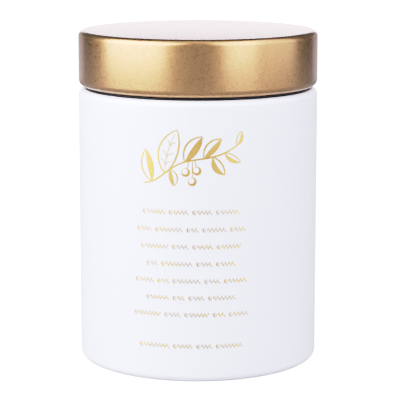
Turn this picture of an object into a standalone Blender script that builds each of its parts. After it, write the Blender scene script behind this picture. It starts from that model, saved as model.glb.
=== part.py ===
"""Round coffee tin with a lift-off plug lid, built as the separate pieces that it comes apart into.

Metres, +Z up. The origin is the centre of the ring that the tin stands on. The front is -Y.
Every piece is a body of revolution about Z, so each one is drawn as an outline of (radius, height)
points and turned. The pieces of the lid are drawn from the top of the tin's rolled rim.
"""

import math

import bmesh
import bpy

# Driving dimensions
BODY_RADIUS = 0.050
TOTAL_HEIGHT = 0.1386
RIM_HEIGHT = 0.1145  # top of the rolled rim
LID_RADIUS = BODY_RADIUS
LID_LIFT = 0.001  # lower edge of the cap above the rim, where the seal's flange shows

SHEET = 0.0005  # coated steel sheet of wall, base and cap
MOULDING = 0.0018  # wall of the plastic pieces
GAP = 0.0003  # left between pieces that touch

# Wall and base
RIM_BEAD = 0.0025
RIM_CURL_DEG = 270
FOOT_CORNER = 0.003
FOOT_WIDTH = 0.002
COMPOUND_THICKNESS = 0.0006
COMPOUND_WIDTH = 0.0016
BASE_SKIRT_TOP = 0.008
BASE_SKIRT_CORNER = 0.0022
BASE_STEP_RADIUS = 0.0426
BASE_STEP_CORNER = 0.001
BASE_PANEL_HEIGHT = 0.0042
BASE_BEAD_RADIUS = 0.031
BASE_BEAD_WIDTH = 0.006
BASE_BEAD_HEIGHT = 0.0006
BASE_BEAD_SLOPE = 0.0012  # how wide each flank of the bead is

# Cap, and what fills it
CAP_TOP_CORNER = 0.0025
CAP_LOWER_CORNER = 0.0029
CAP_TURN_IN_RADIUS = 0.0455  # inner edge of the lip that is rolled under the carrier
PAD_RADIUS = 0.038
PAD_THICKNESS = 0.001
CARRIER_RADIUS = 0.0491
CARRIER_CHAMFER = 0.0013
CARRIER_CHAMFER_WIDTH = 0.0026
CARRIER_RING_RADIUS = 0.0466
RIB_COUNT = 6
RIB_THICKNESS = 0.0014
RIB_DEPTH = 0.0043
BOSS_RADIUS = 0.005

# Plug and seal
PLUG_DEPTH = 0.0107  # below the rim
PLUG_RADIUS = 0.0443
PLUG_CORNER = 0.001
PLUG_LEDGE = 0.0025  # height of the ledge under the seal
PLUG_COLLAR_TOP = 0.015
PLUG_COLLAR_RADIUS = 0.0445
SEAL_GROOVE_RADIUS = 0.0419
SNAP_HEIGHT = 0.013
SNAP_HALF_HEIGHT = 0.0006
SNAP_DEPTH = 0.0005
SEAL_FLANGE_RADIUS = 0.0473
SEAL_FLANGE_THICKNESS = 0.0004
SEAL_WALL = 0.0012
SEAL_LIP_COUNT = 3
SEAL_LIP_SPACING = 0.0024
SEAL_LIP_ROOT = 0.0009
SEAL_LIP_TIP = 0.0004
SEAL_LIP_RISE = 0.0007

TURN_STEPS = 48
BOSS_STEPS = 4  # between one rib and the next
CURL_STEPS = 10
CORNER_STEPS = 5
SMALL_CORNER_STEPS = 3
SHARP_ANGLE_DEG = 35
OVERLAP = 0.0006  # how far ribs and boss run into the moulding that they are part of
WELD_DISTANCE = 1e-6

# Colours are linear RGB
WHITE_COAT = ((0.83, 0.83, 0.88), 0.42, 0.0)
BRONZE_COAT = ((0.46, 0.27, 0.12), 0.34, 1.0)
BLACK_SILICONE = ((0.012, 0.012, 0.013), 0.55, 0.0)
DARK_PLASTIC = ((0.022, 0.022, 0.024), 0.48, 0.0)
GREY_COMPOUND = ((0.20, 0.20, 0.21), 0.70, 0.0)
PALE_FOAM = ((0.62, 0.60, 0.55), 0.85, 0.0)


def clear_scene():
    for obj in list(bpy.data.objects):
        bpy.data.objects.remove(obj)


def make_material(name, look):
    colour, roughness, metallic = look
    material = bpy.data.materials.new(name)
    material.use_nodes = True
    shader = material.node_tree.nodes["Principled BSDF"]
    shader.inputs["Base Color"].default_value = (*colour, 1.0)
    shader.inputs["Roughness"].default_value = roughness
    shader.inputs["Metallic"].default_value = metallic
    material.diffuse_color = (*colour, 1.0)
    return material


def make_empty(name, height, parent=None):
    empty = bpy.data.objects.new(name, None)
    bpy.context.scene.collection.objects.link(empty)
    empty.parent = parent
    empty.location = (0, 0, height)
    return empty


def arc(centre, radius, start_deg, end_deg, steps):
    """Points of an arc from one angle to the other, both ends included."""
    points = []
    for step in range(steps + 1):
        angle = math.radians(start_deg + (end_deg - start_deg) * step / steps)
        points.append(
            (centre[0] + radius * math.cos(angle), centre[1] + radius * math.sin(angle))
        )
    return points


def unit(x, y):
    length = math.hypot(x, y)
    return (x / length, y / length)


def sheet_outline(face, thickness):
    """The closed outline of a bent sheet: one face, then the other set back to the face's left."""
    back = []
    for i, (r, z) in enumerate(face):
        before = face[max(i - 1, 0)]
        after = face[min(i + 1, len(face) - 1)]
        into = unit(r - before[0], z - before[1]) if i else None
        out = unit(after[0] - r, after[1] - z) if i < len(face) - 1 else into
        into = into or out
        along = unit(into[0] + out[0], into[1] + out[1])
        reach = thickness / (along[0] * out[0] + along[1] * out[1])
        back.append((r - along[1] * reach, z + along[0] * reach))
    return face + back[::-1]


def turned(name, outline, material, parent):
    """A solid made by turning a closed outline once about Z. An edge that lies on the axis is left out."""
    shape = bmesh.new()
    verts = [shape.verts.new((r, 0, z)) for r, z in outline]
    for start, end in zip(verts, verts[1:] + verts[:1]):
        if start.co.x > 0 or end.co.x > 0:
            shape.edges.new((start, end))
    bmesh.ops.spin(
        shape,
        geom=shape.verts[:] + shape.edges[:],
        cent=(0, 0, 0),
        axis=(0, 0, 1),
        angle=2 * math.pi,
        steps=TURN_STEPS,
        use_merge=True,
    )
    bmesh.ops.remove_doubles(shape, verts=shape.verts, dist=WELD_DISTANCE)
    bmesh.ops.recalc_face_normals(shape, faces=shape.faces)
    return finish_object(name, shape, material, parent)


def finish_object(name, shape, material, parent):
    mesh = bpy.data.meshes.new(name)
    shape.to_mesh(mesh)
    shape.free()
    mesh.materials.append(material)
    mesh.shade_smooth()
    mesh.set_sharp_from_angle(angle=math.radians(SHARP_ANGLE_DEG))
    obj = bpy.data.objects.new(name, mesh)
    bpy.context.scene.collection.objects.link(obj)
    obj.parent = parent
    return obj


def union_with(obj, helper):
    """Joins a helper shape to an object, and keeps the helper out of the model."""
    helper.hide_render = True
    helper.display_type = "WIRE"
    modifier = obj.modifiers.new(helper.name, "BOOLEAN")
    modifier.operation = "UNION"
    modifier.solver = "EXACT"
    modifier.object = helper


def make_body_wall(material, parent):
    """The rolled tube: a turned-in foot at the bottom and an inward curl for a rim."""
    corner_radius = BODY_RADIUS - FOOT_CORNER
    bead_radius = BODY_RADIUS - RIM_BEAD
    face = [(corner_radius - FOOT_WIDTH, 0)]
    face += arc((corner_radius, FOOT_CORNER), FOOT_CORNER, -90, 0, CORNER_STEPS)
    bead_centre = (bead_radius, RIM_HEIGHT - RIM_BEAD)
    face += arc(bead_centre, RIM_BEAD, 0, RIM_CURL_DEG, CURL_STEPS)
    return turned("body_wall", sheet_outline(face, SHEET), material, parent)


def compound_top():
    return SHEET + GAP + COMPOUND_THICKNESS


def make_base_compound(material, parent):
    """The ring of sealing compound squeezed between the turned-in foot and the base."""
    outer = BODY_RADIUS - FOOT_CORNER - GAP
    inner = outer - COMPOUND_WIDTH
    low, high = SHEET + GAP, compound_top()
    outline = [(inner, low), (outer, low), (outer, high), (inner, high)]
    return turned("base_compound", outline, material, parent)


def make_base_end(material, parent):
    """The pressed base: raised panel with an expansion bead, step, and a skirt inside the wall."""
    low = compound_top() + GAP
    panel = BASE_PANEL_HEIGHT
    skirt = BODY_RADIUS - SHEET - GAP
    bead_in = BASE_BEAD_RADIUS - BASE_BEAD_WIDTH / 2
    bead_out = BASE_BEAD_RADIUS + BASE_BEAD_WIDTH / 2
    bead_top = panel + BASE_BEAD_HEIGHT
    face = [
        (0, panel),
        (bead_in, panel),
        (bead_in + BASE_BEAD_SLOPE, bead_top),
        (bead_out - BASE_BEAD_SLOPE, bead_top),
        (bead_out, panel),
    ]
    corner = BASE_STEP_CORNER
    step_top = (BASE_STEP_RADIUS - corner, panel - corner)
    step_foot = (BASE_STEP_RADIUS + corner, low + corner)
    skirt_foot = (skirt - BASE_SKIRT_CORNER, low + BASE_SKIRT_CORNER)
    face += arc(step_top, corner, 90, 0, SMALL_CORNER_STEPS)
    face += arc(step_foot, corner, 180, 270, SMALL_CORNER_STEPS)
    face += arc(skirt_foot, BASE_SKIRT_CORNER, -90, 0, CORNER_STEPS)
    face.append((skirt, BASE_SKIRT_TOP))
    return turned("base_end", sheet_outline(face, SHEET), material, parent)


def cap_top():
    """Height of the lid's top face above the rim."""
    return TOTAL_HEIGHT - RIM_HEIGHT


def carrier_top():
    return cap_top() - SHEET - GAP - PAD_THICKNESS - GAP


def make_lid_cap(material, parent):
    """The drawn metal shell, its lower edge rolled under the carrier."""
    lower = (LID_RADIUS - CAP_LOWER_CORNER, LID_LIFT + CAP_LOWER_CORNER)
    upper = (LID_RADIUS - CAP_TOP_CORNER, cap_top() - CAP_TOP_CORNER)
    face = [(CAP_TURN_IN_RADIUS, LID_LIFT)]
    face += arc(lower, CAP_LOWER_CORNER, -90, 0, CORNER_STEPS)
    face += arc(upper, CAP_TOP_CORNER, 0, 90, CORNER_STEPS)
    face.append((0, cap_top()))
    return turned("lid_cap", sheet_outline(face, SHEET), material, parent)


def make_lid_pad(material, parent):
    """The sticky foam disc that holds the cap's top to the carrier."""
    low = carrier_top() + GAP
    high = low + PAD_THICKNESS
    outline = [(0, low), (PAD_RADIUS, low), (PAD_RADIUS, high), (0, high)]
    return turned("lid_pad", outline, material, parent)


def make_lid_carrier(material, parent):
    """The moulding inside the cap: a plate, a ring down to the rolled edge, ribs and a boss."""
    top = carrier_top()
    under = top - MOULDING
    foot = LID_LIFT + SHEET + GAP
    inner = CARRIER_RING_RADIUS - MOULDING
    groove = inner + SNAP_DEPTH
    groove_low = SNAP_HEIGHT - SNAP_HALF_HEIGHT - GAP
    groove_high = SNAP_HEIGHT + SNAP_HALF_HEIGHT + GAP
    outline = [
        (0, under),
        (inner, under),
        (inner, groove_high + SNAP_DEPTH),
        (groove, groove_high),
        (groove, groove_low),
        (inner, groove_low - SNAP_DEPTH),
        (inner, foot),
        (CARRIER_RING_RADIUS, foot),
        (CARRIER_RING_RADIUS, under),
        (CARRIER_RADIUS, under),
        (CARRIER_RADIUS, top - CARRIER_CHAMFER),
        (CARRIER_RADIUS - CARRIER_CHAMFER_WIDTH, top),
        (0, top),
    ]
    carrier = turned("lid_carrier", outline, material, parent)
    union_with(carrier, make_rib_star(inner + OVERLAP, under - RIB_DEPTH, under + OVERLAP, parent))
    return carrier


def make_rib_star(reach, low, high, parent):
    """A helper prism: straight ribs that spread from a round boss."""
    half = RIB_THICKNESS / 2
    spacing = 2 * math.pi / RIB_COUNT
    root = math.asin(half / BOSS_RADIUS)  # half the angle that a rib takes up on the boss
    outline = []
    for i in range(RIB_COUNT):
        turn = spacing * i
        x, y = math.cos(turn), math.sin(turn)
        outline.append((reach * x + half * y, reach * y - half * x))
        outline.append((reach * x - half * y, reach * y + half * x))
        start, end = math.degrees(turn + root), math.degrees(turn + spacing - root)
        outline += arc((0, 0), BOSS_RADIUS, start, end, BOSS_STEPS)
    shape = bmesh.new()
    lower = [shape.verts.new((x, y, low)) for x, y in outline]
    upper = [shape.verts.new((x, y, high)) for x, y in outline]
    shape.faces.new(lower[::-1])
    shape.faces.new(upper)
    for i in range(len(outline)):
        shape.faces.new((lower[i - 1], lower[i], upper[i], upper[i - 1]))
    mesh = bpy.data.meshes.new("rib_star")
    shape.to_mesh(mesh)
    shape.free()
    star = bpy.data.objects.new("rib_star", mesh)
    bpy.context.scene.collection.objects.link(star)
    star.parent = parent
    return star


def make_lid_plug(material, parent):
    """The cup that goes into the mouth, with the seal's groove and a collar that snaps into the carrier."""
    bottom = -PLUG_DEPTH
    ledge = bottom + PLUG_LEDGE
    wall = MOULDING
    collar = LID_LIFT
    snap = PLUG_COLLAR_RADIUS + SNAP_DEPTH
    snap_low = SNAP_HEIGHT - SNAP_HALF_HEIGHT
    snap_high = SNAP_HEIGHT + SNAP_HALF_HEIGHT
    outline = [(0, bottom)]
    corner = (PLUG_RADIUS - PLUG_CORNER, bottom + PLUG_CORNER)
    outline += arc(corner, PLUG_CORNER, -90, 0, SMALL_CORNER_STEPS)
    outline += [
        (PLUG_RADIUS, ledge),
        (SEAL_GROOVE_RADIUS, ledge),
        (SEAL_GROOVE_RADIUS, collar),
        (PLUG_COLLAR_RADIUS, collar),
        (PLUG_COLLAR_RADIUS, snap_low - SNAP_DEPTH),
        (snap, snap_low),
        (snap, snap_high),
        (PLUG_COLLAR_RADIUS, snap_high + SNAP_DEPTH),
        (PLUG_COLLAR_RADIUS, PLUG_COLLAR_TOP),
        (PLUG_COLLAR_RADIUS - wall, PLUG_COLLAR_TOP),
        (PLUG_COLLAR_RADIUS - wall, collar + wall),
        (SEAL_GROOVE_RADIUS - wall, collar + wall),
        (SEAL_GROOVE_RADIUS - wall, bottom + wall),
        (0, bottom + wall),
    ]
    return turned("lid_plug", outline, material, parent)


def make_lid_seal(material, parent):
    """The silicone ring: wiping lips that grip the rim's inside, and the flange that shows under the cap."""
    bore = SEAL_GROOVE_RADIUS + GAP
    outer = bore + SEAL_WALL
    lip_tip = BODY_RADIUS - 2 * RIM_BEAD - GAP
    low = -PLUG_DEPTH + PLUG_LEDGE + GAP
    flange_top = LID_LIFT - GAP
    flange_low = flange_top - SEAL_FLANGE_THICKNESS
    outline = [(bore, low), (outer, low)]
    for i in range(SEAL_LIP_COUNT):
        root = low + SEAL_LIP_ROOT + SEAL_LIP_SPACING * i
        tip = root + SEAL_LIP_RISE
        outline += [
            (outer, root),
            (lip_tip, tip),
            (lip_tip, tip + SEAL_LIP_TIP),
            (outer, root + SEAL_LIP_ROOT),
        ]
    outline += [
        (outer, flange_low),
        (SEAL_FLANGE_RADIUS, flange_low),
        (SEAL_FLANGE_RADIUS, flange_top),
        (bore, flange_top),
    ]
    return turned("lid_seal", outline, material, parent)


def main():
    clear_scene()
    white = make_material("white_coat", WHITE_COAT)
    bronze = make_material("bronze_coat", BRONZE_COAT)
    silicone = make_material("black_silicone", BLACK_SILICONE)
    plastic = make_material("dark_plastic", DARK_PLASTIC)
    compound = make_material("grey_compound", GREY_COMPOUND)
    foam = make_material("pale_foam", PALE_FOAM)

    can = make_empty("can_axis", 0)
    make_body_wall(white, can)
    make_base_compound(compound, can)
    make_base_end(white, can)

    lift = make_empty("lid_lift_axis", RIM_HEIGHT, can)
    make_lid_seal(silicone, lift)

    turn = make_empty("lid_turn_axis", 0, lift)
    make_lid_plug(plastic, turn)
    make_lid_carrier(plastic, turn)
    make_lid_pad(foam, turn)
    make_lid_cap(bronze, turn)


main()
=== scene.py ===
"""The looks of a round white coffee tin with a lift-off bronze lid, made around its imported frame.

Metres, +Z up, front at -Y, in the frame of the CAD model. Every metal and moulded piece is turned
about Z from an outline of (radius, height) points. The gold print is thin foil laid on the wall.
"""

import math

import bmesh
import bpy
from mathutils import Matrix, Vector


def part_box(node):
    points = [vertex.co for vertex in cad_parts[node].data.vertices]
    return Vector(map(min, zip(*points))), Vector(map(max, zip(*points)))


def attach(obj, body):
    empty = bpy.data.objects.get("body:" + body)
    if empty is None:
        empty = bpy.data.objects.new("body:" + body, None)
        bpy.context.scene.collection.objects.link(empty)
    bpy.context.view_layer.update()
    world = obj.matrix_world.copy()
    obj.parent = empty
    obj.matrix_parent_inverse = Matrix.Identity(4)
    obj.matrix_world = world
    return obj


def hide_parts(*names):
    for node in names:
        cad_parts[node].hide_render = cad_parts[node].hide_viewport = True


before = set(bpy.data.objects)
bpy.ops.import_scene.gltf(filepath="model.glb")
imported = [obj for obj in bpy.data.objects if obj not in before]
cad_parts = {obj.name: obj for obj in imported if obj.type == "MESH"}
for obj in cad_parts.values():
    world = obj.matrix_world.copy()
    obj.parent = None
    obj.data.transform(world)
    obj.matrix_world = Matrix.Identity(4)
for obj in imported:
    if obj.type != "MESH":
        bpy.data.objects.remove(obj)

MM = 0.001

# Sheet metal
SHEET = 0.0005
FOIL = 0.00004  # thickness of the gold print, which ends flush with the CAD model's wall
RIM_BEAD = 0.0025
RIM_CURL_DEG = 270
FOOT_CORNER = 0.003
FOOT_WIDTH = 0.002
SEAM_STEP = 0.0001  # the welded lap shows as a step this deep
SEAM_AT_DEG = 90  # from +X, so at the back
SEAM_FADE_DEG = 16
SEAM_RISE_DEG = 1.4
SEAM_END = 0.003  # how far from foot and rim the step fades out
COMPOUND_WIDTH = 0.0016
BASE_PANEL_RISE = 0.0025
BASE_STEP_RADIUS = 0.0426
BASE_STEP_CORNER = 0.001
BASE_SKIRT_CORNER = 0.0022
BASE_BEAD_RADIUS = 0.031
BASE_BEAD_HALF_WIDTH = 0.003
BASE_BEAD_HEIGHT = 0.0006
BASE_BEAD_STEPS = 20
CAP_TOP_CORNER = 0.0025
CAP_LOWER_CORNER = 0.0029
CAP_TURN_IN_RADIUS = 0.0455

# Moulded pieces
MOULDING = 0.0018
MOULDED_EDGE = 0.0003
CARRIER_RING_RADIUS = 0.0466
CARRIER_CHAMFER = 0.0013
CARRIER_CHAMFER_WIDTH = 0.0026
RIB_BAR_COUNT = 3
RIB_THICKNESS = 0.0014
RIB_DEPTH = 0.0043
RIB_EDGE_STEPS = 3
BOSS_RADIUS = 0.005
OVERLAP = 0.0006
PLUG_RADIUS = 0.0443
PLUG_CORNER = 0.001
PLUG_LEDGE = 0.0025
PLUG_COLLAR_RADIUS = 0.0445
PLUG_COLLAR_LOW = 0.0117  # above the plug's lowest point
PLUG_PANEL_RADIUS = 0.037
PLUG_PANEL_DEPTH = 0.0004
SEAL_GROOVE_RADIUS = 0.0419
SNAP_MIDDLE = 0.0237  # above the plug's lowest point
SNAP_HALF_HEIGHT = 0.0006
SNAP_DEPTH = 0.0005
SNAP_GAP = 0.0003
SEAL_BORE = 0.0422
SEAL_WALL = 0.0012
SEAL_LIP_COUNT = 3
SEAL_LIP_SPACING = 0.0024
SEAL_LIP_ROOT = 0.0009
SEAL_LIP_TIP = 0.0004
SEAL_LIP_RISE = 0.0007
SEAL_LIP_RADIUS = 0.0447
SEAL_FLANGE_THICKNESS = 0.0004
SEAL_EDGE = 0.00018
PAD_EDGE = 0.0002

SEGMENTS = 256
ARC_STEP_DEG = 7.5
SHARP_ANGLE_DEG = 32
ON_AXIS = 1e-9  # a point this near the axis is on it
BEZIER_SWELL = 0.75  # a cubic curve swells to this share of its handles' distance

# Print: millimetres along the wall from its front line, and up from the foot
PRINT_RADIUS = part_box("body_wall")[1].x
FOIL_LAYER = 0.000003  # strokes that cross lie this far apart
FOIL_BURIED = 0.00002
SPRIG_CENTRE = (-2.7, 92.0)
STEM = (
    ((-19.8, -10.4), (-13.5, -10.8), (-9.5, -3.4), (-2.5, -1.6)),
    ((-2.5, -1.6), (5.5, 0.4), (10.5, -0.8), (18.4, 4.8)),
)
STEM_STEPS = 24
STEM_LAYER = 6  # below the leaves and the cherries
# base, tip, half width, sideways bend, veins on each side; a leaf with no veins is half shaded
LEAVES = (
    ((-16.2, -9.7), (-18.8, 3.0), 2.4, 0.8, 0),
    ((-10.8, -6.3), (-5.6, 11.2), 3.9, 1.4, 3),
    ((-8.4, -4.7), (-6.8, -11.4), 1.6, 0.6, 0),
    ((-2.6, -1.6), (4.4, 8.6), 2.5, 1.0, 0),
    ((5.0, 0.0), (12.0, 7.6), 2.0, 0.8, 0),
    ((8.8, 0.3), (13.4, -6.8), 1.9, -0.8, 0),
    ((13.4, 1.9), (20.0, -2.0), 1.3, -0.6, 0),
    ((18.4, 4.8), (20.2, 10.4), 1.2, -0.4, 0),
)
LEAF_STEPS = 22
LEAF_HANDLES = (0.28, 0.70)  # shares of its length at which a leaf's edges are pulled out
STEM_PEN = (0.30, 0.42)  # half widths of a stroke at its ends and at its middle
BOLD_PEN = (0.24, 0.40)
FINE_PEN = (0.20, 0.30)
RIB_PEN = (0.14, 0.20)
PEN_SWELL = 0.8  # the lower, the sooner a stroke swells
BOLD_LEAF = 1.7  # a leaf of a greater half width has the bold pen
VEINS_FROM = 0.18  # shares of the midrib: where the veins start, and how far they go on
VEINS_OVER = 0.60
VEIN_LEAN = 4  # how many steps further on a vein meets the edge
VEIN_SHARE = 0.74  # how much of the way to the edge it goes
VEIN_STEPS = 5
# centre, radius, foot of the stalk on the stem
CHERRIES = (
    ((-2.2, -5.8), 1.8, (-0.8, -1.3)),
    ((2.3, -5.2), 1.8, (1.4, -0.8)),
    ((0.4, -9.5), 1.8, (0.5, -1.0)),
)
CHERRY_STEPS = 28
CHERRY_LIGHT = 0.62  # radius and shift of the bare spot that leaves a crescent of foil
CHERRY_LIGHT_SHIFT = 0.2

# Rows of small vines, each led by a bean
ROW_MIDDLE = -3.0
# height, width, share of the width that each vine takes
ROWS = (
    (70.0, 39.6, (6, 5, 5, 6)),
    (62.9, 44.8, (4, 7, 3, 6, 4)),
    (56.0, 41.3, (7, 4, 5, 6)),
    (49.0, 36.4, (3, 8, 4, 5)),
    (42.0, 46.3, (5, 3, 7, 4, 6)),
    (35.1, 36.9, (6, 3, 4, 7)),
    (28.2, 47.8, (7, 4, 6, 3, 5)),
    (15.2, 43.0, (8, 5, 4, 7)),
)
VINE_GAP = 1.5
SMALL_PEN = (0.13, 0.13)
SMALL_STEPS = 9
BEAN_SIZE = (0.62, 0.86)  # half width and half height
# Bezier points of the crease, in shares of the bean's size
BEAN_CREASE = ((-0.06, 0.8), (0.55, 0.2), (-0.55, -0.2), (0.06, -0.8))
BEAN_SHADE_DEG = (98, 262)  # the outline on the shaded side of the crease
BEAN_TILT_DEG = 24
BEAN_MIDDLE = 0.7  # from the vine's start
BEAN_TAKES = 1.9
LEAF_PITCH = 0.78
# how far the tips of the leaves above and below the stem are from their bases
LEAF_TIPS = ((0.72, 1.12), (0.66, -0.98))
SMALL_LEAF_WIDTH = 0.29

# Materials
NOISE_RANGE = (0.3, 0.7)  # nearly all noise values are between these
FOAM_CELL = 0.0007

# Studio
AIM = Vector((0, 0, 0.07))
FLOOR_RADIUS = 6.0
FLOOR_SEGMENTS = 96
FLOOR_COLOUR = (0.28, 0.28, 0.30)
WALL_COLOUR = (0.96, 0.97, 1.0)
WALL_LEVEL = 0.1
CEILING_LEVEL = 0.02
CEILING_FROM = (0.45, 0.8)  # sine of the elevation where the walls give way to the ceiling
# name, azimuth, elevation, size, distance, radiance, tint
SOFTBOXES = (
    ("left_softbox", -63, 26, (1.72, 1.56), 1.2, 5.5, (0.97, 0.99, 1.07)),
    ("front_fill", -8, 14, (1.05, 1.0), 1.2, 0.25, (1.0, 0.98, 1.02)),
    ("right_softbox", 40, 26, (0.78, 1.56), 1.2, 4.0, (0.96, 0.98, 1.08)),
    ("right_fill", 82, 30, (1.08, 1.8), 1.2, 2.0, (0.95, 0.97, 1.08)),
    ("top_softbox", 0, 78, (1.7, 0.5), 1.2, 1.7, (0.98, 0.99, 1.05)),
    ("back_sweep", 180, 5, (0.46, 0.34), 0.9, 2.3, (1.0, 0.88, 0.99)),
    ("back_left", -152, 3, (0.44, 0.36), 0.9, 0.5, (1.0, 0.88, 0.97)),
    ("back_right", 152, 3, (0.40, 0.36), 0.9, 0.5, (1.0, 0.88, 0.97)),
)
# Scene value and shown value: a film's soft shoulder, which is white from 2.4 on
TONE = (
    (0.0, 0.0),
    (0.3, 0.3),
    (0.54, 0.53),
    (0.78, 0.69),
    (1.3, 0.84),
    (1.75, 0.92),
    (2.4, 1.0),
    (2.8, 1.02),
)
WHITE = 3.0  # what the camera sees of the floor and the backdrop

# Camera
CAMERA_DISTANCE = 0.772
CAMERA_HEIGHT = 0.205
CAMERA_PITCH_DEG = 10.14
LENS_MM = 166.5
SENSOR_MM = 36.0
CAMERA_SHIFT = (0.0049, -0.0040)


# ------------------------------------------------------------ outlines


def arc(centre, radius, start_deg, end_deg):
    """Points of an arc, both ends included, one for every few degrees."""
    steps = max(2, math.ceil(abs(end_deg - start_deg) / ARC_STEP_DEG))
    points = []
    for step in range(steps + 1):
        angle = math.radians(start_deg + (end_deg - start_deg) * step / steps)
        r = centre[0] + radius * math.cos(angle)
        z = centre[1] + radius * math.sin(angle)
        points.append((r, z))
    return points


def unit(x, y):
    length = math.hypot(x, y)
    return (x / length, y / length)


def sheet_outline(face, thickness):
    """The closed outline of a bent sheet: one face, then the other set back to the face's left."""
    back = []
    for i, (r, z) in enumerate(face):
        before = face[max(i - 1, 0)]
        after = face[min(i + 1, len(face) - 1)]
        into = unit(r - before[0], z - before[1]) if i else None
        out = unit(after[0] - r, after[1] - z) if i < len(face) - 1 else into
        into = into or out
        along = unit(into[0] + out[0], into[1] + out[1])
        reach = thickness / (along[0] * out[0] + along[1] * out[1])
        back.append((r - along[1] * reach, z + along[0] * reach))
    return face + back[::-1]


def rounded(corners):
    """A closed outline from (radius, height, fillet) corners, with each fillet as an arc."""
    points = []
    for i, (r, z, fillet) in enumerate(corners):
        if not fillet:
            points.append((r, z))
            continue
        before, after = corners[i - 1], corners[(i + 1) % len(corners)]
        into = unit(r - before[0], z - before[1])
        out = unit(after[0] - r, after[1] - z)
        cross = into[0] * out[1] - into[1] * out[0]
        turn = math.atan2(cross, into[0] * out[0] + into[1] * out[1])
        reach = fillet * math.tan(abs(turn) / 2)
        side = math.copysign(fillet, turn)
        start = (r - into[0] * reach, z - into[1] * reach)
        centre = (start[0] - into[1] * side, start[1] + into[0] * side)
        first = math.degrees(math.atan2(start[1] - centre[1], start[0] - centre[0]))
        points += arc(centre, fillet, first, first + math.degrees(turn))
    return points


# ------------------------------------------------------------ meshes


def link_mesh(name, shape, material):
    """An object from a bmesh, faces out, smooth but for its real edges."""
    bmesh.ops.recalc_face_normals(shape, faces=shape.faces)
    mesh = bpy.data.meshes.new(name)
    shape.to_mesh(mesh)
    shape.free()
    mesh.materials.append(material)
    mesh.shade_smooth()
    mesh.set_sharp_from_angle(angle=math.radians(SHARP_ANGLE_DEG))
    obj = bpy.data.objects.new(name, mesh)
    bpy.context.scene.collection.objects.link(obj)
    return obj


def turned(name, outline, material, warp=None):
    """A solid made by turning a closed outline about Z.

    warp(angle in degrees, height) gives what the radius changes by.
    """
    shape = bmesh.new()
    rings = []
    for r, z in outline:
        if r < ON_AXIS:
            rings.append([shape.verts.new((0, 0, z))] * SEGMENTS)
            continue
        ring = []
        for k in range(SEGMENTS):
            angle = 2 * math.pi * k / SEGMENTS
            reach = r + (warp(math.degrees(angle), z) if warp else 0)
            ring.append(shape.verts.new((reach * math.cos(angle), reach * math.sin(angle), z)))
        rings.append(ring)
    for ring, after in zip(rings, rings[1:] + rings[:1]):
        for k in range(SEGMENTS):
            corners = dict.fromkeys((ring[k - 1], ring[k], after[k], after[k - 1]))
            if len(corners) > 2:
                shape.faces.new(list(corners))
    return link_mesh(name, shape, material)


def place(obj, body, slot, *nodes):
    """Rides a piece on its body, and hides the CAD nodes that it stands for. Its finish slot is not
    used.
    """
    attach(obj, body)
    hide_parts(*nodes)


# ------------------------------------------------------------ the tin


def make_wall(material):
    """The wall's outer face leaves the foil its thickness inside the CAD model's box."""
    low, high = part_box("body_wall")
    radius = high.x - FOIL
    corner = (radius - FOOT_CORNER, low.z + FOOT_CORNER)
    bead = (radius - RIM_BEAD, high.z - RIM_BEAD)
    face = [(corner[0] - FOOT_WIDTH, low.z)]
    face += arc(corner, FOOT_CORNER, -90, 0)
    face += [(radius, corner[1] + SEAM_END), (radius, bead[1] - SEAM_END)]
    face += arc(bead, RIM_BEAD, 0, RIM_CURL_DEG)

    def seam(angle, z):
        """The lap is at the back: full radius on one side of it, and a step down on the other."""
        past = (angle - SEAM_AT_DEG) % 360
        if past > SEAM_FADE_DEG or not corner[1] < z < bead[1]:
            return 0
        rise = min(1, past / SEAM_RISE_DEG)
        return -SEAM_STEP * rise * (1 - past / SEAM_FADE_DEG)

    wall = turned("tin_wall", sheet_outline(face, SHEET), material, seam)
    place(wall, "can", "white_coat", "body_wall")


def make_base(material):
    low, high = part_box("base_end")
    panel = low.z + BASE_PANEL_RISE
    corner = BASE_STEP_CORNER
    face = [(0, panel)]
    for i in range(BASE_BEAD_STEPS + 1):
        share = i / BASE_BEAD_STEPS
        r = BASE_BEAD_RADIUS + BASE_BEAD_HALF_WIDTH * (2 * share - 1)
        swell = (1 - math.cos(2 * math.pi * share)) / 2
        face.append((r, panel + BASE_BEAD_HEIGHT * swell))
    face += arc((BASE_STEP_RADIUS - corner, panel - corner), corner, 90, 0)
    face += arc((BASE_STEP_RADIUS + corner, low.z + corner), corner, 180, 270)
    skirt_foot = (high.x - BASE_SKIRT_CORNER, low.z + BASE_SKIRT_CORNER)
    face += arc(skirt_foot, BASE_SKIRT_CORNER, -90, 0)
    face.append((high.x, high.z))
    base = turned("tin_base", sheet_outline(face, SHEET), material)
    place(base, "can", "white_coat", "base_end")


def make_compound(material):
    """The squeezed bead of sealing compound, rounded on both sides."""
    low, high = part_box("base_compound")
    half = (high.z - low.z) / 2
    inner = high.x - COMPOUND_WIDTH
    outline = arc((high.x - half, low.z + half), half, -90, 90)
    outline += arc((inner + half, low.z + half), half, 90, 270)
    bead = turned("tin_compound", outline, material)
    place(bead, "can", "sealing_compound", "base_compound")


# ------------------------------------------------------------ the lid


def make_cap(material):
    low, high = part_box("lid_cap")
    lower = (high.x - CAP_LOWER_CORNER, low.z + CAP_LOWER_CORNER)
    upper = (high.x - CAP_TOP_CORNER, high.z - CAP_TOP_CORNER)
    face = [(CAP_TURN_IN_RADIUS, low.z)]
    face += arc(lower, CAP_LOWER_CORNER, -90, 0)
    face += arc(upper, CAP_TOP_CORNER, 0, 90)
    face.append((0, high.z))
    cap = turned("lid_cap_shell", sheet_outline(face, SHEET), material)
    place(cap, "lid", "bronze_coat", "lid_cap")


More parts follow.
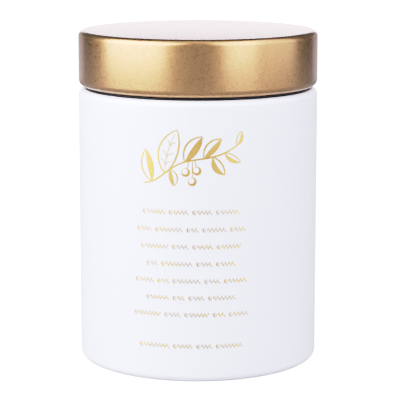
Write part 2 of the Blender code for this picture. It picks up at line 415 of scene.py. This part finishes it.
def make_pad(material):
    low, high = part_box("lid_pad")
    corners = [(0, low.z, 0), (high.x, low.z, PAD_EDGE), (high.x, high.z, PAD_EDGE), (0, high.z, 0)]
    pad = turned("lid_foam_pad", rounded(corners), material)
    place(pad, "lid", "foam", "lid_pad")


def make_carrier(material):
    low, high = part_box("lid_carrier")
    under = high.z - MOULDING
    inner = CARRIER_RING_RADIUS - MOULDING
    groove = inner + SNAP_DEPTH
    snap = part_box("lid_plug")[0].z + SNAP_MIDDLE
    half = SNAP_HALF_HEIGHT + SNAP_GAP
    edge = MOULDED_EDGE
    corners = [
        (0, under, 0),
        (inner, under, edge),
        (inner, snap + half + SNAP_DEPTH, edge),
        (groove, snap + half, 0),
        (groove, snap - half, 0),
        (inner, snap - half - SNAP_DEPTH, edge),
        (inner, low.z, edge),
        (CARRIER_RING_RADIUS, low.z, edge),
        (CARRIER_RING_RADIUS, under, edge),
        (high.x, under, edge),
        (high.x, high.z - CARRIER_CHAMFER, edge / 2),
        (high.x - CARRIER_CHAMFER_WIDTH, high.z, edge),
        (0, high.z, 0),
    ]
    carrier = turned("lid_carrier_moulding", rounded(corners), material)
    bottom, top = under - RIB_DEPTH, under + OVERLAP
    for i in range(RIB_BAR_COUNT):
        reach = inner + OVERLAP
        bar = rib_bar(f"rib_bar_{i + 1}", reach, bottom, top, math.pi * i / RIB_BAR_COUNT, material)
        join(carrier, bar)
    boss = [(0, bottom, 0), (BOSS_RADIUS, bottom, edge), (BOSS_RADIUS, top, 0), (0, top, 0)]
    join(carrier, turned("carrier_boss", rounded(boss), material))
    place(carrier, "lid", "dark_plastic", "lid_carrier")


def rib_bar(name, reach, bottom, top, turn, material):
    """A bar across the carrier, its two lower edges slightly rounded."""
    shape = bmesh.new()
    bmesh.ops.create_cube(shape, size=1)
    bmesh.ops.scale(shape, vec=(2 * reach, RIB_THICKNESS, top - bottom), verts=shape.verts)
    lower = [e for e in shape.edges if all(v.co.z < 0 for v in e.verts)]
    long_lower = [e for e in lower if abs(e.verts[0].co.x - e.verts[1].co.x) > reach]
    bmesh.ops.bevel(
        shape, geom=long_lower, offset=MOULDED_EDGE, segments=RIB_EDGE_STEPS, affect="EDGES"
    )
    bmesh.ops.translate(shape, vec=(0, 0, (top + bottom) / 2), verts=shape.verts)
    bar = link_mesh(name, shape, material)
    bar.rotation_euler = (0, 0, turn)
    return bar


def join(obj, helper):
    """Makes a helper shape part of a piece by a Boolean union, and removes the helper."""
    modifier = obj.modifiers.new("join", "BOOLEAN")
    modifier.operation = "UNION"
    modifier.solver = "EXACT"
    modifier.object = helper
    graph = bpy.context.evaluated_depsgraph_get()
    mesh = bpy.data.meshes.new_from_object(obj.evaluated_get(graph))
    obj.modifiers.clear()
    obj.data = mesh
    mesh.shade_smooth()
    mesh.set_sharp_from_angle(angle=math.radians(SHARP_ANGLE_DEG))
    bpy.data.objects.remove(helper)


def make_plug(material):
    low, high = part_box("lid_plug")
    bottom = low.z
    wall = MOULDING
    ledge = bottom + PLUG_LEDGE
    collar = bottom + PLUG_COLLAR_LOW
    snap = bottom + SNAP_MIDDLE
    edge = MOULDED_EDGE
    corners = [
        (0, bottom + PLUG_PANEL_DEPTH, 0),
        (PLUG_PANEL_RADIUS - edge, bottom + PLUG_PANEL_DEPTH, edge),
        (PLUG_PANEL_RADIUS, bottom, edge / 2),
        (PLUG_RADIUS, bottom, PLUG_CORNER),
        (PLUG_RADIUS, ledge, edge),
        (SEAL_GROOVE_RADIUS, ledge, edge),
        (SEAL_GROOVE_RADIUS, collar, edge),
        (PLUG_COLLAR_RADIUS, collar, edge),
        (PLUG_COLLAR_RADIUS, snap - SNAP_HALF_HEIGHT - SNAP_DEPTH, edge / 2),
        (high.x, snap - SNAP_HALF_HEIGHT, edge / 2),
        (high.x, snap + SNAP_HALF_HEIGHT, edge / 2),
        (PLUG_COLLAR_RADIUS, snap + SNAP_HALF_HEIGHT + SNAP_DEPTH, edge / 2),
        (PLUG_COLLAR_RADIUS, high.z, edge),
        (PLUG_COLLAR_RADIUS - wall, high.z, edge),
        (PLUG_COLLAR_RADIUS - wall, collar + wall, edge),
        (SEAL_GROOVE_RADIUS - wall, collar + wall, edge),
        (SEAL_GROOVE_RADIUS - wall, bottom + wall, edge),
        (0, bottom + wall, 0),
    ]
    plug = turned("lid_plug_cup", rounded(corners), material)
    place(plug, "lid", "dark_plastic", "lid_plug")


def make_seal(material):
    low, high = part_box("lid_seal")
    outer = SEAL_BORE + SEAL_WALL
    edge = SEAL_EDGE
    flange_low = high.z - SEAL_FLANGE_THICKNESS
    corners = [(SEAL_BORE, low.z, edge), (outer, low.z, edge)]
    for i in range(SEAL_LIP_COUNT):
        root = low.z + SEAL_LIP_ROOT + SEAL_LIP_SPACING * i
        tip = root + SEAL_LIP_RISE
        corners += [
            (outer, root, edge),
            (SEAL_LIP_RADIUS, tip, edge),
            (SEAL_LIP_RADIUS, tip + SEAL_LIP_TIP, edge),
            (outer, root + SEAL_LIP_ROOT, edge),
        ]
    corners += [
        (outer, flange_low, edge),
        (high.x, flange_low, edge),
        (high.x, high.z, edge),
        (SEAL_BORE, high.z, edge),
    ]
    seal = turned("lid_seal_ring", rounded(corners), material)
    place(seal, "seal", "black_silicone", "lid_seal")


# ------------------------------------------------------------ the print


def foil_point(u, v, level):
    """A point of the print. Level None is buried in the coat, and level 0 is the top layer."""
    depth = FOIL + FOIL_BURIED if level is None else FOIL_LAYER * level
    radius = PRINT_RADIUS - depth
    angle = u * MM / radius
    return (radius * math.sin(angle), -radius * math.cos(angle), v * MM)


def bezier(points, steps):
    """Points along a cubic Bezier curve."""
    path = []
    for i in range(steps + 1):
        t = i / steps
        shares = ((1 - t) ** 3, 3 * t * (1 - t) ** 2, 3 * t * t * (1 - t), t**3)
        u = sum(share * p[0] for share, p in zip(shares, points))
        v = sum(share * p[1] for share, p in zip(shares, points))
        path.append((u, v))
    return path


def pen(thin, thick):
    """Half widths of a pen stroke that swells in its middle."""
    return lambda t: thin + (thick - thin) * math.sin(math.pi * t) ** PEN_SWELL


def add_strip(shape, sides, level=0, closed=False):
    """A strip of foil between pairs of points, with its sides run into the coat."""
    rows = []
    for left, right in sides:
        corners = ((left, level), (right, level), (right, None), (left, None))
        rows.append([shape.verts.new(foil_point(*point, depth)) for point, depth in corners])
    pairs = list(zip(rows, rows[1:]))
    if closed:
        pairs.append((rows[-1], rows[0]))
    else:
        shape.faces.new(rows[0])
        shape.faces.new(rows[-1][::-1])
    for row, after in pairs:
        for k in range(4):
            shape.faces.new((row[k - 1], after[k - 1], after[k], row[k]))


def add_stroke(shape, path, half_width, level=0, closed=False):
    """A pen stroke of foil along a path. half_width(share of the path) is the pen's."""
    sides = []
    last = len(path) - 1
    for i, (u, v) in enumerate(path):
        before = path[i - 1] if closed else path[max(i - 1, 0)]
        after = path[(i + 1) % len(path)] if closed else path[min(i + 1, last)]
        along = unit(after[0] - before[0], after[1] - before[1])
        half = half_width(i / last)
        left = (u - along[1] * half, v + along[0] * half)
        right = (u + along[1] * half, v - along[0] * half)
        sides.append((left, right))
    add_strip(shape, sides, level, closed)


def around(centre, x, y, tilt_deg):
    """A point beside a centre, turned about it."""
    tilt = math.radians(tilt_deg)
    u = centre[0] + x * math.cos(tilt) - y * math.sin(tilt)
    v = centre[1] + x * math.sin(tilt) + y * math.cos(tilt)
    return (u, v)


def oval(centre, half_width, half_height, tilt_deg, angles_deg):
    """Points of a tilted ellipse, one for each angle."""
    points = []
    for angle in map(math.radians, angles_deg):
        x = half_width * math.cos(angle)
        y = half_height * math.sin(angle)
        points.append(around(centre, x, y, tilt_deg))
    return points


def angles(steps, first=0, last=360):
    """Angles in degrees from first to last in equal steps, without the last."""
    return [first + (last - first) * i / steps for i in range(steps)]


def leaf_lines(base, tip, half_width, bend, steps):
    """The left edge, midrib and right edge of a leaf from base to tip, bent sideways."""
    length = math.dist(base, tip)
    along = unit(tip[0] - base[0], tip[1] - base[1])

    def spot(share, side):
        """A point at a share of the length and a distance to the left of the straight line."""
        u = base[0] + along[0] * length * share - along[1] * side
        v = base[1] + along[1] * length * share + along[0] * side
        return (u, v)

    bulge = half_width / BEZIER_SWELL
    lines = []
    for side in (bend + bulge, bend, bend - bulge):
        handles = [spot(share, side) for share in LEAF_HANDLES]
        lines.append(bezier([base, *handles, tip], steps))
    return lines


def add_leaf(shape, lines, edge_pen, rib_pen, veins):
    """An outlined leaf, with veins on both sides of its midrib or with one half shaded."""
    left, rib, right = lines
    add_stroke(shape, left, edge_pen, 0)
    add_stroke(shape, right, edge_pen, 1)
    last = len(rib) - 1
    if not veins:
        add_strip(shape, list(zip(rib, right))[1:last], 2)
        return
    add_stroke(shape, rib[: last - 1], rib_pen, 2)
    for i in range(veins):
        start = round(last * (VEINS_FROM + VEINS_OVER * i / veins))
        for side in (left, right):
            a, b = rib[start], side[start + VEIN_LEAN]
            end = (a[0] + (b[0] - a[0]) * VEIN_SHARE, a[1] + (b[1] - a[1]) * VEIN_SHARE)
            middle = rib[start + VEIN_LEAN // 2]
            path = bezier([a, middle, end, end], VEIN_STEPS)
            add_stroke(shape, path[:-1], rib_pen, 3)


def add_cherry(shape, centre, radius, stalk_foot):
    """A coffee cherry: a disc with a bare spot of light, and its stalk."""
    outer = oval(centre, radius, radius, 0, angles(CHERRY_STEPS))
    shift = radius * CHERRY_LIGHT_SHIFT
    spot = (centre[0] - shift, centre[1] + shift)
    inner = oval(spot, radius * CHERRY_LIGHT, radius * CHERRY_LIGHT, 0, angles(CHERRY_STEPS))
    add_strip(shape, list(zip(inner, outer)), 2, closed=True)
    away = unit(stalk_foot[0] - centre[0], stalk_foot[1] - centre[1])
    top = (centre[0] + away[0] * radius, centre[1] + away[1] * radius)
    add_stroke(shape, bezier([top, top, stalk_foot, stalk_foot], VEIN_STEPS), pen(*RIB_PEN), 3)


def make_sprig(material):
    """The large ornament: a coffee branch drawn with a broad pen, where the tin has its script."""
    shape = bmesh.new()
    for curve in STEM:
        path = [shifted(point) for point in bezier(curve, STEM_STEPS)]
        add_stroke(shape, path, pen(*STEM_PEN), STEM_LAYER)
    for base, tip, half_width, bend, veins in LEAVES:
        lines = leaf_lines(shifted(base), shifted(tip), half_width, bend, LEAF_STEPS)
        edge_pen = BOLD_PEN if half_width > BOLD_LEAF else FINE_PEN
        add_leaf(shape, lines, pen(*edge_pen), pen(*RIB_PEN), veins)
    for centre, radius, stalk_foot in CHERRIES:
        add_cherry(shape, shifted(centre), radius, shifted(stalk_foot))
    sprig = link_mesh("print_sprig", shape, material)
    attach(sprig, "can")


def shifted(point):
    return (point[0] + SPRIG_CENTRE[0], point[1] + SPRIG_CENTRE[1])


def add_bean(shape, centre, tilt_deg):
    """A small coffee bean: an outline, and foil on one side of the crease down its middle."""
    wide, high = BEAN_SIZE
    ring = oval(centre, wide, high, tilt_deg, angles(2 * SMALL_STEPS))
    add_stroke(shape, ring, pen(*SMALL_PEN), 0, closed=True)
    handles = [around(centre, x * wide, y * high, tilt_deg) for x, y in BEAN_CREASE]
    shade = [*angles(SMALL_STEPS, *BEAN_SHADE_DEG), BEAN_SHADE_DEG[1]]
    side = oval(centre, wide, high, tilt_deg, shade)
    add_strip(shape, list(zip(bezier(handles, SMALL_STEPS), side)), 1)


def add_vine(shape, start, end, height):
    """A stem with small leaves above and below it by turns, after a bean at its head."""
    add_bean(shape, (start + BEAN_MIDDLE, height), BEAN_TILT_DEG)
    foot = start + BEAN_TAKES
    last = end - LEAF_TIPS[0][0]
    count = round((last - foot) / LEAF_PITCH)
    spots = [(foot + (last - foot) * i / count, height) for i in range(count + 1)]
    add_stroke(shape, spots, pen(*SMALL_PEN), 0)
    for i, (u, v) in enumerate(spots):
        reach = LEAF_TIPS[i % 2]
        tip = (u + reach[0], v + reach[1])
        left, _, right = leaf_lines((u, v), tip, SMALL_LEAF_WIDTH, 0, SMALL_STEPS)
        add_strip(shape, list(zip(left, right))[1:-1], 1)


def make_rows(material):
    """Rows of vines with beans, where the tin has its lines of small print."""
    for row, (height, width, shares) in enumerate(ROWS):
        shape = bmesh.new()
        scale = (width - VINE_GAP * (len(shares) - 1)) / sum(shares)
        u = ROW_MIDDLE - width / 2
        for share in shares:
            add_vine(shape, u, u + share * scale, height)
            u += share * scale + VINE_GAP
        line = link_mesh(f"print_row_{row + 1}", shape, material)
        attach(line, "can")


# ------------------------------------------------------------ materials


def new_material(name, colour, roughness, metallic=0.0):
    material = bpy.data.materials.new(name)
    material.use_nodes = True
    material.diffuse_color = (*colour, 1.0)
    shader = material.node_tree.nodes["Principled BSDF"]
    shader.inputs["Base Color"].default_value = (*colour, 1.0)
    shader.inputs["Roughness"].default_value = roughness
    shader.inputs["Metallic"].default_value = metallic
    return material, material.node_tree, shader


def noise(tree, size, detail=2.0):
    """Noise whose blotches are about this size, in metres."""
    where = tree.nodes.new("ShaderNodeTexCoord")
    node = tree.nodes.new("ShaderNodeTexNoise")
    node.inputs["Scale"].default_value = 1 / size
    node.inputs["Detail"].default_value = detail
    tree.links.new(where.outputs["Object"], node.inputs["Vector"])
    return node.outputs["Fac"]


def spread(tree, value, low, high):
    """Noise values, which keep near a half, spread from low to high."""
    node = tree.nodes.new("ShaderNodeMapRange")
    node.inputs["From Min"].default_value, node.inputs["From Max"].default_value = NOISE_RANGE
    node.inputs["To Min"].default_value = low
    node.inputs["To Max"].default_value = high
    tree.links.new(value, node.inputs["Value"])
    return node.outputs["Result"]


def mottle(tree, shader, value, first, second):
    """Colours the shader from one tone to another by a noise value."""
    node = tree.nodes.new("ShaderNodeMix")
    node.data_type = "RGBA"
    node.inputs["A"].default_value = (*first, 1.0)
    node.inputs["B"].default_value = (*second, 1.0)
    tree.links.new(spread(tree, value, 0, 1), node.inputs["Factor"])
    tree.links.new(node.outputs["Result"], shader.inputs["Base Color"])


def roughen(tree, shader, value, low, high):
    tree.links.new(spread(tree, value, low, high), shader.inputs["Roughness"])


def relief(tree, shader, *layers):
    """Bumps the surface by (noise value, depth in metres) layers, one on another."""
    normal = None
    for value, depth in layers:
        node = tree.nodes.new("ShaderNodeBump")
        node.inputs["Distance"].default_value = depth
        tree.links.new(value, node.inputs["Height"])
        if normal:
            tree.links.new(normal, node.inputs["Normal"])
        normal = node.outputs["Normal"]
    tree.links.new(normal, shader.inputs["Normal"])


def white_coat():
    """Satin powder coat: soft orange peel under a fine grain, with a faint cloud in its white."""
    material, tree, shader = new_material("white_powder_coat", (0.82, 0.83, 0.905), 0.4)
    mottle(tree, shader, noise(tree, 0.03), (0.81, 0.82, 0.90), (0.83, 0.84, 0.91))
    grain = noise(tree, 0.00022)
    roughen(tree, shader, grain, 0.34, 0.46)
    relief(tree, shader, (noise(tree, 0.0013), 0.000006), (grain, 0.0000015))
    return material


def bronze_coat():
    """Lacquered bronze: a soft, slightly cloudy metal with a leathery grain under its lacquer."""
    material, tree, shader = new_material("bronze_metal", (0.52, 0.295, 0.126), 0.3, 1.0)
    shader.inputs["Coat Weight"].default_value = 1.0
    shader.inputs["Coat IOR"].default_value = 1.3
    shader.inputs["Coat Roughness"].default_value = 0.17
    grain = noise(tree, 0.0008)
    mottle(tree, shader, grain, (0.475, 0.269, 0.114), (0.565, 0.321, 0.138))
    roughen(tree, shader, noise(tree, 0.0013), 0.26, 0.35)
    relief(tree, shader, (grain, 0.000009))
    return material


def gold_foil():
    """Hot-stamped gold foil: satin metal with tiny breaks in its shine."""
    material, tree, shader = new_material("gold_foil", (0.69, 0.44, 0.125), 0.46, 1.0)
    mottle(tree, shader, noise(tree, 0.0012), (0.64, 0.405, 0.108), (0.74, 0.48, 0.145))
    roughen(tree, shader, noise(tree, 0.0005), 0.42, 0.52)
    relief(tree, shader, (noise(tree, 0.0004), 0.000004))
    return material


def black_silicone():
    """Satin silicone with a trace of dust in its colour."""
    material, tree, shader = new_material("black_silicone_rubber", (0.008, 0.007, 0.008), 0.5)
    shader.inputs["Specular IOR Level"].default_value = 0.35
    mottle(tree, shader, noise(tree, 0.002, 4), (0.006, 0.005, 0.006), (0.012, 0.011, 0.012))
    roughen(tree, shader, noise(tree, 0.0006), 0.4, 0.58)
    relief(tree, shader, (noise(tree, 0.0003), 0.000004))
    return material


def dark_plastic():
    """Near-black moulded plastic with a fine spark-eroded texture."""
    material, tree, shader = new_material("dark_moulded_plastic", (0.022, 0.022, 0.024), 0.5)
    mottle(tree, shader, noise(tree, 0.004, 3), (0.020, 0.020, 0.022), (0.027, 0.027, 0.029))
    texture = noise(tree, 0.00045, 3)
    roughen(tree, shader, texture, 0.4, 0.6)
    relief(tree, shader, (texture, 0.000014))
    return material


def pale_foam():
    """Closed-cell foam: small round cells with rough walls."""
    material, tree, shader = new_material("pale_foam", (0.62, 0.60, 0.55), 0.85)
    cells = tree.nodes.new("ShaderNodeTexVoronoi")
    cells.inputs["Scale"].default_value = 1 / FOAM_CELL
    where = tree.nodes.new("ShaderNodeTexCoord")
    tree.links.new(where.outputs["Object"], cells.inputs["Vector"])
    mottle(tree, shader, cells.outputs["Distance"], (0.66, 0.64, 0.59), (0.54, 0.52, 0.47))
    relief(tree, shader, (cells.outputs["Distance"], 0.00012))
    return material


def grey_compound():
    """Cured sealing compound, slightly lumpy where it was squeezed."""
    material, tree, shader = new_material("grey_sealing_compound", (0.20, 0.20, 0.21), 0.65)
    mottle(tree, shader, noise(tree, 0.003, 3), (0.18, 0.18, 0.19), (0.23, 0.23, 0.24))
    relief(tree, shader, (noise(tree, 0.0016), 0.00005))
    return material


def floor_material():
    """Plain grey for light and reflections, and pure white to the camera, like a cut-out."""
    material, tree, shader = new_material("pale_floor", FLOOR_COLOUR, 0.8)
    glow = tree.nodes.new("ShaderNodeEmission")
    glow.inputs["Strength"].default_value = WHITE
    show_white(tree, shader.outputs[0], glow.outputs[0], tree.nodes["Material Output"])
    return material


def show_white(tree, light, white, out):
    """What the camera sees is the white shader, and everything else meets the other one."""
    sight = tree.nodes.new("ShaderNodeLightPath")
    mix = tree.nodes.new("ShaderNodeMixShader")
    tree.links.new(sight.outputs["Is Camera Ray"], mix.inputs[0])
    tree.links.new(light, mix.inputs[1])
    tree.links.new(white, mix.inputs[2])
    tree.links.new(mix.outputs[0], out.inputs["Surface"])


# ------------------------------------------------------------ studio


def make_floor():
    """A plain round floor at the tin's foot."""
    shape = bmesh.new()
    bmesh.ops.create_circle(shape, cap_ends=True, radius=FLOOR_RADIUS, segments=FLOOR_SEGMENTS)
    floor = link_mesh("floor", shape, floor_material())
    floor.location.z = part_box("body_wall")[0].z


def softbox(name, azimuth_deg, elevation_deg, size, distance, radiance, tint):
    """A large soft area light aimed at the tin. Azimuth 0 is on the camera's side, and 90 at +X."""
    data = bpy.data.lights.new(name, "AREA")
    data.shape = "RECTANGLE"
    data.size, data.size_y = size
    data.energy = radiance * math.pi * size[0] * size[1]
    data.color = tint
    light = bpy.data.objects.new(name, data)
    bpy.context.scene.collection.objects.link(light)
    azimuth, elevation = math.radians(azimuth_deg), math.radians(elevation_deg)
    level = math.cos(elevation)
    towards = Vector((math.sin(azimuth) * level, -math.cos(azimuth) * level, math.sin(elevation)))
    light.location = AIM + towards * distance
    light.rotation_euler = towards.to_track_quat("Z", "Y").to_euler()
    light.visible_camera = False


def make_world():
    """White behind the object, and for light and reflections dim walls under a dark ceiling."""
    world = bpy.data.worlds.new("studio")
    world.use_nodes = True
    bpy.context.scene.world = world
    tree = world.node_tree
    tree.nodes.clear()
    where = tree.nodes.new("ShaderNodeTexCoord")
    axes = tree.nodes.new("ShaderNodeSeparateXYZ")
    level = tree.nodes.new("ShaderNodeMapRange")
    level.interpolation_type = "SMOOTHSTEP"
    level.inputs["From Min"].default_value, level.inputs["From Max"].default_value = CEILING_FROM
    level.inputs["To Min"].default_value = WALL_LEVEL
    level.inputs["To Max"].default_value = CEILING_LEVEL
    walls = tree.nodes.new("ShaderNodeBackground")
    walls.inputs["Color"].default_value = (*WALL_COLOUR, 1.0)
    tree.links.new(where.outputs["Generated"], axes.inputs[0])
    tree.links.new(axes.outputs["Z"], level.inputs["Value"])
    tree.links.new(level.outputs["Result"], walls.inputs["Strength"])
    backdrop = tree.nodes.new("ShaderNodeBackground")
    backdrop.inputs["Color"].default_value = (1, 1, 1, 1)
    backdrop.inputs["Strength"].default_value = WHITE
    out = tree.nodes.new("ShaderNodeOutputWorld")
    show_white(tree, walls.outputs[0], backdrop.outputs[0], out)


def make_tone():
    """Highlights roll off softly, as on film, so that bronze in full light pales to cream."""
    view = bpy.context.scene.view_settings
    view.view_transform = "Standard"
    view.use_curve_mapping = True
    mapping = view.curve_mapping
    mapping.extend = "HORIZONTAL"
    mapping.use_clip = False
    brightest = TONE[-1][0]
    mapping.white_level = (brightest, brightest, brightest)
    combined = mapping.curves[3]
    combined.points[1].location = (1, TONE[-1][1])
    for scene_value, shown in TONE[1:-1]:
        combined.points.new(scene_value / brightest, shown)
    mapping.update()


def make_camera():
    data = bpy.data.cameras.new("camera")
    data.sensor_width = SENSOR_MM
    data.lens = LENS_MM
    data.shift_x, data.shift_y = CAMERA_SHIFT
    camera = bpy.data.objects.new("camera", data)
    bpy.context.scene.collection.objects.link(camera)
    camera.location = (0, -CAMERA_DISTANCE, CAMERA_HEIGHT)
    camera.rotation_euler = (math.radians(90 - CAMERA_PITCH_DEG), 0, 0)
    bpy.context.scene.camera = camera


def main():
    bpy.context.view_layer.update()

    white = white_coat()
    plastic = dark_plastic()
    foil = gold_foil()
    make_wall(white)
    make_base(white)
    make_compound(grey_compound())
    make_sprig(foil)
    make_rows(foil)
    make_cap(bronze_coat())
    make_pad(pale_foam())
    make_carrier(plastic)
    make_plug(plastic)
    make_seal(black_silicone())

    make_floor()
    make_world()
    for light in SOFTBOXES:
        softbox(*light)
    make_camera()
    make_tone()


main()
